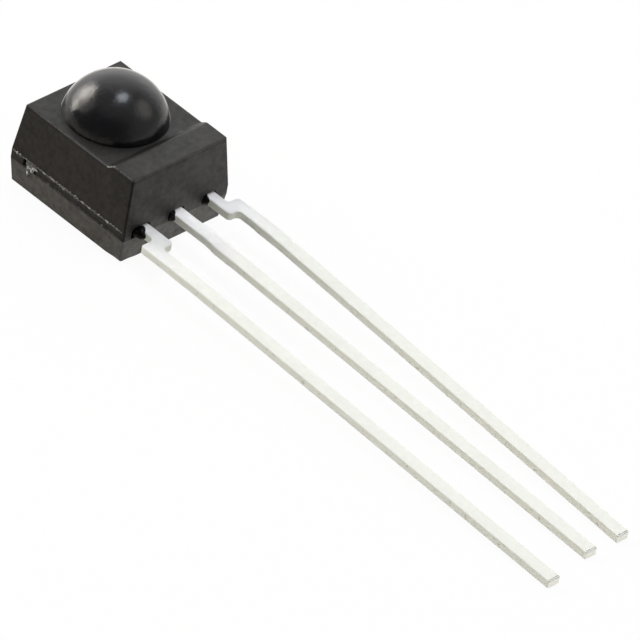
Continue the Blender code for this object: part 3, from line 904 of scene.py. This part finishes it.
        # The upper edge between the lead end and the left wall is painted dark: a painted dark
        # reflection
        upright = np.where(z > PARTING, np.where((out_x < 0.0) & (out_y < 0.0), -1.0,
                                                 self.upper_wear_and_sheen), self.lower_wear_and_sheen)
        weight = np.where(out_z > 0.2, self.top_wear_and_sheen,
                          np.where(out_z < -0.2, self.bottom_wear_and_sheen, upright))
        nick_y, width, strength = self.nick
        nick = strength * np.exp(-((y - nick_y) / width) ** 2) * (out_x < -0.2)
        under = PAD_TOP - self.soft_radius - z
        dull = self.dull_line * ((under > -0.01) & (under < 0.05)) * (np.abs(out_z) < 0.2)
        rub_x, rub_z, radius, strength = self.rub
        rub = strength * np.exp(-(np.hypot(x - rub_x, z - rub_z) / radius) ** 2) * (out_y < -0.5)
        # Painted shade: a darker, duller patch beside each lead's root
        shade_x, shade_z, half_x, half_z, strength = self.root_shade
        for recess in self.recesses:
            off = np.hypot((x - recess.edges[0] - shade_x) / half_x, (z - shade_z) / half_z)
            dull = dull + strength * np.exp(-off ** 2) * (out_y < -0.5)
        return np.clip(edge * weight * (1.0 + nick) - dull + rub, -1.0, 1.0)

    def groove(self, y: Array, z: Array) -> Array:
        """Depth of the groove in the upright band of a side wall.

        Args:
            y: along the body.
            z: height.

        Returns:
            Depth in millimetres, a soft-sided step whose floor is slightly uneven.
        """
        wander = 0.012 * ripple(y, 1.1, 5)
        up = ease(z, PARTING + 0.01 + wander, PARTING + 0.05 + wander)
        down = 1.0 - ease(z, BAND_TOP - 0.045, BAND_TOP - 0.01)
        ends = (1.0 - ease(y, self.groove_end - 0.03, self.groove_end)) * ease(
            y, LEAD_END, LEAD_END + 0.02)
        return self.groove_depth * up * down * ends * (1.0 + 0.10 * ripple(y, 0.8, 6))

    def carve(self, points: Array, axis: int, side: int) -> None:
        """Cut the grooves, the gate's hole or the recesses into one face of the box, in place.

        Args:
            points: the face's points.
            axis: which axis the face looks along.
            side: 0 for the low face and -1 for the high one.
        """
        x, y, z = (points[..., i].copy() for i in range(3))
        if axis == 0:
            points[..., 0] += self.groove(y, z) * (1.0 if side == 0 else -1.0)
        if axis == 0 and side == 0:
            away = np.hypot((y - self.gate_hole[0]) / self.hole_half[0],
                            (z - self.gate_hole[1]) / self.hole_half[1])
            points[..., 0] += self.hole_depth * (1.0 - ease(away, 0.7, 1.1))
        if axis == 1 and side == 0:
            for recess in self.recesses:
                points[..., 1] += recess.cut(x, z)

    def build(self, finishes: Finishes) -> None:
        """Make the body from six grids; it stands for the CAD body.

        Args:
            finishes: the module's finishes.
        """
        box, surface = self.lines(), Surface()
        for axis, (first, second) in enumerate(((1, 2), (0, 2), (0, 1))):
            for side in (0, -1):
                grid = np.empty((len(box[first]), len(box[second]), 3))
                grid[..., first] = box[first][:, None]
                grid[..., second] = box[second][None, :]
                grid[..., axis] = box[axis][side]
                points, edge = self.shape(grid)
                self.carve(points, axis, side)
                surface.add(points, edge)
        piece = surface.piece("epoxy_body", finishes.body, 38.0)
        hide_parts("package")


@dataclass
class Lens:
    """Polished cap of a sphere over the photodiode."""

    radius: float = 2.37
    base_radius: float = 2.31
    root: float = 0.30
    rings: int = 72
    segments: int = 160

    def build(self, finishes: Finishes) -> None:
        """Make the cap, R times the unit sphere about (0, 0, C), from the pole to below the plate.

        The last ring runs in to the axis and closes the cap inside the body.

        Args:
            finishes: the module's finishes.
        """
        centre = PLATE - math.sqrt(self.radius ** 2 - self.base_radius ** 2)
        last = math.acos((PLATE - self.root - centre) / self.radius)
        grid = self.radius * sphere(self.rings, self.segments, last) + (0.0, 0.0, centre)
        floor = grid[-1:] * np.array([0.0, 0.0, 1.0])
        Surface().add(np.concatenate([grid, floor]), wrap=True).piece(
            "lens_dome", finishes.lens, 50.0)


@dataclass
class Bleed:
    """Glossy lump of resin on one lead's root, near-black so that it also paints the shade there.
    """

    name: str
    centre: Triple
    half: Triple
    seed: int

    def build(self, finishes: Finishes) -> None:
        """Make an uneven egg."""
        grid = lumpy_egg(sphere(28, 40), self.half, self.centre, 0.10, 2.2, self.seed)
        Surface().add(grid, wrap=True).piece(self.name, finishes.bleed_and_shade, 60.0)


@dataclass
class Flash:
    """Thin broken fin of resin along one side's parting line, with torn chips on it.

    Each chip is a place along the body and how much it adds to the fin's size.
    """

    name: str
    side: float
    seed: int
    start: float = -4.10
    end: float = 2.76
    height: float = BAND_TOP - 0.03
    reach: float = 0.030
    thickness: float = 0.048
    chips: tuple[tuple[float, float], ...] = ()
    chip_width: float = 0.05
    sizes: tuple[float, float] = (0.85, 0.14)
    wander: float = 0.012
    jitter: float = 0.007
    wall: float = 2.995
    limit: float = 3.034
    spacing: float = 0.02
    ring: int = 12

    def build(self, finishes: Finishes) -> None:
        """Make the fin: an oval carried along Y, whose size and height are uneven.

        Each chip adds a bump of the form exp(-(d / w)^2) to the oval's size.

        Args:
            finishes: the module's finishes.
        """
        y = np.arange(self.start, self.end, self.spacing)
        mean, swing = self.sizes
        size = np.clip(mean + swing * ripple(y, 0.7, self.seed), 0.6, 1.1)
        for place, extra in self.chips:
            size = size + extra * np.exp(-((y - place) / self.chip_width) ** 2)
        size *= np.minimum(ease(y, self.start, self.start + 0.1),
                           1.0 - ease(y, self.end - 0.04, self.end)) * 0.98 + 0.02
        turn = np.linspace(0.0, TURN, self.ring, endpoint=False)[None, :]
        rise = self.wander * ripple(y, 0.9, self.seed + 1)
        x = self.side * (self.wall + self.reach * size[:, None] * np.cos(turn))
        z = (self.height + rise)[:, None] + self.thickness * size[:, None] * np.sin(turn)
        grid = np.stack([x, y[:, None] + 0.0 * turn, z], axis=-1)
        grid += self.jitter * np.stack([lumps(grid, 0.16, self.seed + k) for k in range(3)], -1)
        grid[..., 0] = np.clip(grid[..., 0], -self.limit, self.limit)
        first, last = (end.mean(axis=1, keepdims=True) + 0.0 * end
                       for end in (grid[:1], grid[-1:]))
        Surface().add(np.concatenate([first, grid, last]), wrap=True).piece(
            self.name, finishes.flash, 25.0)


@dataclass
class GateScar:
    """Torn stub of resin where the gate broke off, with loose chips below it.

    Each chunk has its place along and up the wall, its half sizes there and how far it stands
    out.
    """

    chunks: tuple[tuple[float, ...], ...] = (
        (1.64, 1.40, 0.14, 0.12, 0.06), (1.68, 1.16, 0.11, 0.16, 0.05),
        (1.70, 0.93, 0.05, 0.12, 0.04), (1.50, 1.50, 0.30, 0.10, 0.045),
        (1.47, 1.30, 0.12, 0.12, 0.04))
    wall: float = -2.985
    limit: float = -3.034
    seed: int = 40

    def build(self, finishes: Finishes) -> None:
        """Make each chunk: a stretched sphere broken up by a strong noise.

        Args:
            finishes: the module's finishes.
        """
        for i, (y, z, half_y, half_z, stand) in enumerate(self.chunks):
            wall = self.wall + max(PARTING - z, 0.0) * Package.side_draft
            grid = lumpy_egg(sphere(16, 22), (stand, half_y, half_z), (wall, y, z), 0.28, 1.1,
                             self.seed + i)
            grid[..., 0] = np.maximum(grid[..., 0], self.limit)
            Surface().add(grid, wrap=True).piece(f"gate_scar_{i + 1}", finishes.broken, 25.0)


@dataclass
class Lead:
    """One blanked, plated and bent lead, with its inner end.

    Its two edges run from the tip inwards, as x, y and radius of each corner. Each step of its
    sides has the side, 1 or -1, the stretch of the lead and how far it stands out. The dam bar's
    stub has the last two.
    """

    name: str
    right: list[Triple]
    left: list[Triple]
    length: float
    sway: float
    seed: int
    steps: tuple[tuple[float, ...], ...] = ()
    shear: float = 0.006
    dam_bar: Triple = (-3.72, -2.50, 0.022)
    bottom: float = 1.24
    thickness: float = 0.37
    bend_start: float = 1.90
    bend_length: float = 2.40
    roll: float = 0.045
    roll_rings: int = 7
    spacing: float = 0.16
    arc: int = 6

    def curve(self, corners: list[Triple], counts: list[int]) -> Array:
        """Path through the corners, each turned into an arc, with points along the runs.

        Args:
            corners: x, y and radius of each corner.
            counts: how many points lie on each run between two corners.

        Returns:
            Points by x, y.
        """
        spots = np.array([c[:2] for c in corners])
        runs, leave = [], spots[0]
        for i, count in enumerate(counts):
            share = np.linspace(0.0, 1.0, count, endpoint=False)[:, None]
            if i + 2 == len(spots):
                runs.append(leave + (spots[i + 1] - leave) * share)
                break
            corner, radius = spots[i + 1], corners[i + 1][2]
            back, on = (way / np.linalg.norm(way)
                        for way in (spots[i] - corner, spots[i + 2] - corner))
            half = math.acos(float(np.clip(back @ on, -1.0, 1.0))) / 2
            reach = radius / math.tan(half)
            arrive, depart = corner + back * reach, corner + on * reach
            runs.append(leave + (arrive - leave) * share)
            centre = corner + (back + on) / np.linalg.norm(back + on) * radius / math.sin(half)
            first, last = arrive - centre, depart - centre
            sweep = math.atan2(first[0] * last[1] - first[1] * last[0], float(first @ last))
            turn = np.linspace(0.0, sweep, self.arc, endpoint=False)[:, None]
            across = np.array([-first[1], first[0]])
            runs.append(centre + first * np.cos(turn) + across * np.sin(turn))
            leave = depart
        return np.concatenate([*runs, spots[-1:]])

    def outline(self) -> list[Array]:
        """Right and left edge of the blank, with the same number of points, from the tip."""
        sides = (self.right, self.left)
        counts = [max(2, math.ceil(max(math.dist(side[i][:2], side[i + 1][:2])
                                       for side in sides) / self.spacing))
                  for i in range(len(self.right) - 1)]
        return [self.curve(side, counts) for side in sides]

    def profile(self) -> list[tuple[float, ...]]:
        """Profile of the blanked edge, from the bottom face up to the top face.

        Returns:
            Inset, level, share of the side's roughness, sheared mark and the tip's mark.
        """
        t, r = self.thickness, self.roll
        rings = [(*ring, -ring[3]) for ring in (
            (0.030, 0.000, 0.0, 0.3), (0.010, 0.004, 0.5, 0.8), (0.002, 0.020, 1.0, 1.0),
            (0.004, 0.100, 1.0, 1.0), (0.010, 0.150, 1.0, 1.0), (0.000, 0.185, 0.6, 1.0),
            (0.000, t - r - 0.03, 0.4, 1.0))]
        for turn in np.linspace(0.0, math.pi / 2, self.roll_rings):
            share = turn / (math.pi / 2)
            rings.append((r * (1 - math.cos(turn)), t - r + r * math.sin(turn),
                          0.3 * (1 - share), max(1.0 - 1.5 * share, 0.0), 0.0))
        return [*rings, (r + 0.05, t, 0.0, 0.0, 0.0)]

    def roughness(self, loop: Array) -> Array:
        """How far each point of the outline stands out: shear ripples, dam-bar stubs and steps.

        Args:
            loop: the outline.

        Returns:
            Distance in millimetres.
        """
        y = loop[:, 1] - LEAD_END
        sign = np.where(loop[:, 0] > np.median(loop[:, 0]), 1.0, -1.0)
        stand = self.shear * ripple(y + 3.0 * sign, 0.8, self.seed)
        stand *= ease(y, 0.1 - self.length, 0.5 - self.length)
        low, high, out = self.dam_bar
        stand += out * stretch(y, low, high, 0.05)
        for side, low, high, out in self.steps:
            stand += out * stretch(y, low, high, 0.12) * (sign == side)
        return stand * (1.0 - ease(y, -0.4, -0.1))

    def bend(self, grid: Array) -> Array:
        """Let the tip down onto the table and to one side.

        The fall grows with the square of the distance through the bend and straight after it.

        Args:
            grid: points of the flat lead.

        Returns:
            Points of the bent lead.
        """
        along = np.maximum(LEAD_END - grid[..., 1] - self.bend_start, 0.0)
        moved = np.where(along < self.bend_length, along ** 2 / (2 * self.bend_length),
                         along - self.bend_length / 2)
        share = moved / (self.length - self.bend_start - self.bend_length / 2)
        return grid + np.stack([self.sway * share, 0.0 * share, -self.bottom * share], axis=-1)

    def build(self, finishes: Finishes) -> None:
        """Make the lead: its outline, carried up through the profile of a blanked edge.

        Each ring of the edge is the outline moved inwards along its own normal and up to the
        ring's level. The top and the bottom are quads between the two long edges. The mark is
        above 0 on the sheared sides and below 0 on the cropped tip. The piece stands for the
        CAD lead of the same name.

        Args:
            finishes: the module's finishes.
        """
        right, left = self.outline()
        loop = np.concatenate([right, left[::-1]])
        tangent = np.roll(loop, -1, axis=0) - np.roll(loop, 1, axis=0)
        tangent /= np.linalg.norm(tangent, axis=1, keepdims=True)
        normal = np.stack([tangent[:, 1], -tangent[:, 0]], axis=1)
        rough = self.roughness(loop)
        tip = ease(LEAD_END - loop[:, 1], self.length - 0.07, self.length - 0.01)
        rings, marks = [], []
        for inset, level, share, side_mark, tip_mark in self.profile():
            flat = loop - normal * (inset - rough * share)[:, None]
            rings.append(np.column_stack([flat, np.full(len(flat), self.bottom + level)]))
            marks.append(side_mark + (tip_mark - side_mark) * tip)
        bent = self.bend(np.stack(rings))
        surface = Surface().add(bent, np.stack(marks), wrap=True)
        for ring in (0, -1):
            face = np.stack([bent[ring, :len(right)], bent[ring, len(right):][::-1]], axis=1)
            surface.add(face, float(marks[ring].max()))
        piece = surface.piece(self.name + "_plated", finishes.tin, 35.0, "tinned_lead",
                              Mark.SHEARED)
        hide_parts(self.name)


@dataclass
class LeadFrame:
    """The three leads, from one set of sizes."""

    pitch: float = 2.54
    pin: float = 0.65
    length: float = 24.87
    output_extra: float = 0.43
    neck_length: float = 0.80
    step_rise: float = 0.66
    step_share: float = 0.19
    tip_cut: float = 0.06
    post: Triple = (0.74, 0.55, 1.35)
    paddle: Triple = (2.60, 0.978, 5.50)
    notch: Triple = (0.20, 2.79, 3.19)

    def outer(self, neck: Neck, extra: float,
              step_radii: tuple[float, float]) -> list[list[Triple]]:
        """Corners of an outer lead on the +X side.

        Args:
            neck: its neck.
            extra: how much longer than the others it is.
            step_radii: radii of its outer shoulder, at the pin and at the neck.

        Returns:
            Corners of its outer and its inner edge, from the tip inwards.
        """
        tip = LEAD_END - self.length - extra
        stop = LEAD_END - self.neck_length - extra * self.step_share
        width, shoulder, depth = self.post
        shoulder, depth = LEAD_END + shoulder, LEAD_END + depth
        sides = []
        for sign, neck_x, stop_y, radii in (
                (1.0, neck.edges[1], stop, step_radii),
                (-1.0, neck.edges[0], stop - self.step_rise, (0.20, 0.20))):
            pin, post = self.pitch + sign * self.pin / 2, neck.centre + sign * width / 2
            sides.append([
                (pin - sign * self.tip_cut, tip, 0.0), (pin, tip, 0.055),
                (pin, stop_y, radii[0]), (neck_x, stop_y, radii[1]), (neck_x, shoulder, 0.02),
                (post, shoulder, 0.06), (post, depth, 0.10), (post - sign * 0.15, depth, 0.0)])
        return sides

    def middle(self, neck: float) -> list[Triple]:
        """Corners of the middle lead's +X edge, from the tip to the back of the paddle.

        Args:
            neck: distance of the neck's edge from the body's middle.

        Returns:
            The corners.
        """
        half, (width, front, back) = self.pin / 2, self.paddle
        depth, notch_front, notch_back = self.notch
        w = width / 2
        corners = [
            (half - self.tip_cut, -self.length, 0.0), (half, -self.length, 0.055),
            (half, -2.75, 0.5), (neck, -2.05, 0.5), (neck, front, 0.02), (w, front, 0.12),
            (w, notch_front, 0.06), (w - depth, notch_front, 0.02),
            (w - depth, notch_back, 0.02), (w, notch_back, 0.06), (w, back, 0.12),
            (w - 0.2, back, 0.0)]
        return [(x, LEAD_END + y, radius) for x, y, radius in corners]

    def build(self, finishes: Finishes) -> None:
        """Make the leads.

        Args:
            finishes: the module's finishes.
        """
        def mirrored(corners: list[Triple]) -> list[Triple]:
            """The same corners on the other side of the middle."""
            return [(-x, y, r) for x, y, r in corners]

        outer, inner = self.outer(SUPPLY_NECK, 0.0, (0.24, 0.10))
        far, near = self.outer(Neck(-OUTPUT_NECK.centre, OUTPUT_NECK.width),
                               self.output_extra, (0.12, 0.26))
        for lead in (
                Lead("supply_lead", outer, inner, self.length, -0.44, 11,
                     steps=((-1.0, -2.55, -1.5, -0.07), (1.0, -4.2, -1.2, -0.03))),
                Lead("ground_lead", self.middle(GROUND_NECK.edges[1]),
                     mirrored(self.middle(-GROUND_NECK.edges[0])), self.length, 0.26, 12,
                     steps=((1.0, -4.6, -2.5, 0.05),)),
                Lead("output_lead", mirrored(near), mirrored(far),
                     self.length + self.output_extra, 0.22, 13)):
            lead.build(finishes)


class Inside:
    """Chips, adhesive and bond wires inside the moulding, which keep their CAD shapes."""

    def build(self, finishes: Finishes) -> None:
        """Give the CAD nodes their finishes.

        Args:
            finishes: the module's finishes.
        """
        for material, names in (
                (finishes.silicon, ("photodiode_die", "receiver_ic_die")),
                (finishes.adhesive, ("photodiode_attach", "receiver_ic_attach")),
                (finishes.gold, ("photodiode_wire", "output_wire", "supply_wire",
                                 "ground_wire"))):
            for name in names:
                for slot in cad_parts[name].material_slots:
                    slot.material = material
                log.info("%s: %s", name, material.name)


# Studio

@dataclass
class Camera:
    """Long lens at the photograph's viewing angle."""

    azimuth: float = -50.11
    elevation: float = 38.011
    roll: float = -10.216
    distance: float = 503.496
    scale: float = 24.218
    target: Triple = (0.069, -12.848, 1.57)
    frame_width: float = 640.0
    sensor: float = 36.0

    def build(self) -> None:
        """Place the camera and make it the scene's."""
        a, r = math.radians(self.azimuth), math.radians(self.roll)
        back = towards(self.azimuth, self.elevation)
        right = Vector((math.cos(a), math.sin(a), 0.0))
        up = back.cross(right)
        across = math.cos(r) * right - math.sin(r) * up
        upward = math.cos(r) * up + math.sin(r) * right
        data = bpy.data.cameras.new("camera")
        data.sensor_width = self.sensor
        data.lens = self.scale * self.distance / self.frame_width * self.sensor
        data.clip_start, data.clip_end = 0.01, 10.0
        obj = link("camera", data)
        turn = Matrix((across, upward, back)).transposed().to_4x4()
        place = (Vector(self.target) + self.distance * back) * MM
        obj.matrix_world = Matrix.Translation(place) @ turn
        bpy.context.scene.camera = obj


@dataclass
class Lamp:
    """Flat oval lamp at a direction and distance, looking at its target, in metres."""

    name: str
    azimuth: float
    elevation: float
    width: float
    height: float
    radiance: float
    colour: Triple
    distance: float = 0.5
    spread: float = 180.0
    target: Triple = (0.0, 0.0, 0.0)

    def build(self) -> None:
        """Place the lamp, with its power worked out from its radiance and its area."""
        data = bpy.data.lights.new(self.name, "AREA")
        data.shape = "ELLIPSE"
        data.size, data.size_y = self.width, self.height
        data.color = self.colour
        data.energy = self.radiance * math.pi * self.width * self.height
        data.spread = math.radians(self.spread)
        away = towards(self.azimuth, self.elevation)
        obj = link(self.name, data)
        obj.location = Vector(self.target) + away * self.distance
        obj.rotation_mode = "QUATERNION"
        obj.rotation_quaternion = away.to_track_quat("Z", "Y")


@dataclass
class Studio:
    """Pale floor, soft lamps, and a surround that is bright behind the module.

    Each glow of the surround has its direction, the cosine to it where it starts, and its
    strength. What the module mirrors of the floor is dim on one side and bright on the other.
    """

    floor_size: float = 6.0
    floor_level: float = -0.00002
    floor_colour: Triple = (0.88, 0.88, 0.88)
    shown_white: float = 0.94
    dim_side: Triple = (-1.0, 0.1, 0.0)
    dim_reach: tuple[float, float] = (0.3, 0.8)
    floor_dim: Triple = (0.54, 0.48, 0.43)
    floor_bright: Triple = (1.04, 1.01, 0.97)
    dim: float = 0.12
    glows: tuple[tuple[float, ...], ...] = (
        (0.67, 0.73, 0.10, 0.20, 1.34), (0.50, -0.84, 0.20, 0.45, 0.34),
        (0.0, 0.0, 1.0, 0.55, 0.36))
    lamps: list[Lamp] = field(default_factory=lambda: [
        Lamp("window", -167.0, 21.0, 0.40, 0.42, 2.1, (1.0, 0.95, 0.87)),
        Lamp("window_core", -169.0, 28.0, 0.20, 0.26, 4.9, (1.0, 0.96, 0.89)),
        Lamp("window_halo", -141.0, 33.0, 0.30, 0.30, 0.62, (1.0, 0.95, 0.87)),
        Lamp("window_low", -157.0, 8.0, 0.14, 0.14, 4.2, (1.0, 0.95, 0.88)),
        Lamp("overhead", 80.0, 82.0, 0.16, 0.18, 5.6, (0.86, 0.92, 1.0)),
        Lamp("fill", 47.0, 40.0, 0.36, 0.34, 0.86, (1.0, 0.93, 0.85), 0.6),
        Lamp("roots", 0.0, 90.0, 0.004, 0.004, 0.6, (0.97, 1.0, 0.98), 0.06, 9.0,
             (0.0, -0.0062, 0.0))])

    def build(self) -> None:
        """Make the floor, the lamps and the world."""
        self.floor()
        for lamp in self.lamps:
            lamp.build()
        self.world()
        bpy.context.scene.view_settings.view_transform = "Standard"

    def world(self) -> None:
        """Surround with soft glows behind the module, before it and above it."""
        world = bpy.data.worlds.new("surround")
        bpy.context.scene.world = world
        world.use_nodes = True
        graph = Graph(world.node_tree)
        view = graph.add("TexCoord").outputs["Generated"]
        strength = self.dim
        for x, y, z, start, extra in self.glows:
            glow = graph.remap(graph.cosine(view, (x, y, z)), start, 1.0, 0.0, extra)
            strength = graph.math("ADD", strength, glow)
        seen = graph.add("LightPath").outputs["Is Camera Ray"]
        background = graph.tree.nodes["Background"]
        graph.put(background.inputs["Color"], (1.0, 1.0, 1.0))
        graph.put(background.inputs["Strength"], graph.math("MAXIMUM", seen, strength))

    def floor(self) -> None:
        """Large pale floor that looks nearly white and keeps the module's shadow."""
        half, level = self.floor_size / 2, self.floor_level
        mesh = bpy.data.meshes.new("floor")
        mesh.from_pydata([(-half, -half, level), (half, -half, level), (half, half, level),
                          (-half, half, level)], [], [(0, 1, 2, 3)])
        material = bpy.data.materials.new("pale floor")
        material.use_nodes = True
        mesh.materials.append(material)
        graph = Graph(material.node_tree)
        shader = graph.tree.nodes["Principled BSDF"]
        for label, term in {"Base Color": self.floor_colour, "Roughness": 0.9,
                            "Specular IOR Level": 0.0}.items():
            graph.put(shader.inputs[label], term)
        path = graph.add("LightPath").outputs
        mirrored = graph.math("MAXIMUM", path["Is Glossy Ray"], path["Is Transmission Ray"])
        seen = graph.math("MAXIMUM", path["Is Camera Ray"], mirrored)
        way = graph.add("VectorMath", {0: graph.add("TexCoord").outputs["Object"]},
                        operation="NORMALIZE").outputs["Vector"]
        share = graph.remap(graph.cosine(way, self.dim_side), *self.dim_reach, 1.0, 0.0)
        pool = graph.mix(share, self.floor_dim, self.floor_bright)
        glow = graph.add("Emission", {"Color": graph.mix(mirrored, (1.0, 1.0, 1.0), pool),
                                      "Strength": 1.0})
        shown = graph.add("MixShader", {0: graph.math("MULTIPLY", seen, self.shown_white),
                                        1: shader.outputs[0], 2: glow.outputs[0]})
        graph.put(graph.tree.nodes["Material Output"].inputs["Surface"], shown.outputs[0])
        obj = link("floor", mesh)


def main() -> None:
    """Build the module and its studio in order."""
    logging.basicConfig(level=logging.INFO, format="%(name)s: %(message)s")
    Camera().build()
    finishes = Finishes()
    parts = (
        Package(), Lens(),
        Bleed("output_bleed", (-2.13, -4.16, 1.425), (0.33, 0.43, 0.28), 21),
        Bleed("ground_bleed", (-0.25, -4.07, 1.425), (0.21, 0.34, 0.28), 22),
        Bleed("supply_bleed", (1.71, -4.07, 1.425), (0.21, 0.34, 0.28), 23),
        Flash("left_flash", -1.0, 31, chips=(
            (0.32, 1.0), (-0.06, 0.8), (-0.23, 1.2), (-0.42, 0.9), (-0.55, 1.1), (-0.74, 1.0),
            (-0.90, 1.2), (-1.16, 1.3), (-1.34, 1.0), (-1.70, 0.5), (-2.39, 1.0), (-2.62, 0.7),
            (-3.19, 0.5), (-3.60, 0.4), (2.18, 1.0), (2.40, 0.8))),
        Flash("right_flash", 1.0, 35, height=BAND_TOP - 0.04, reach=0.022, thickness=0.03,
              wall=2.955, limit=2.99),
        GateScar(), LeadFrame(), Inside())
    for part in parts:
        part.build(finishes)
    Studio().build()


if __name__ == "__main__":
    main()
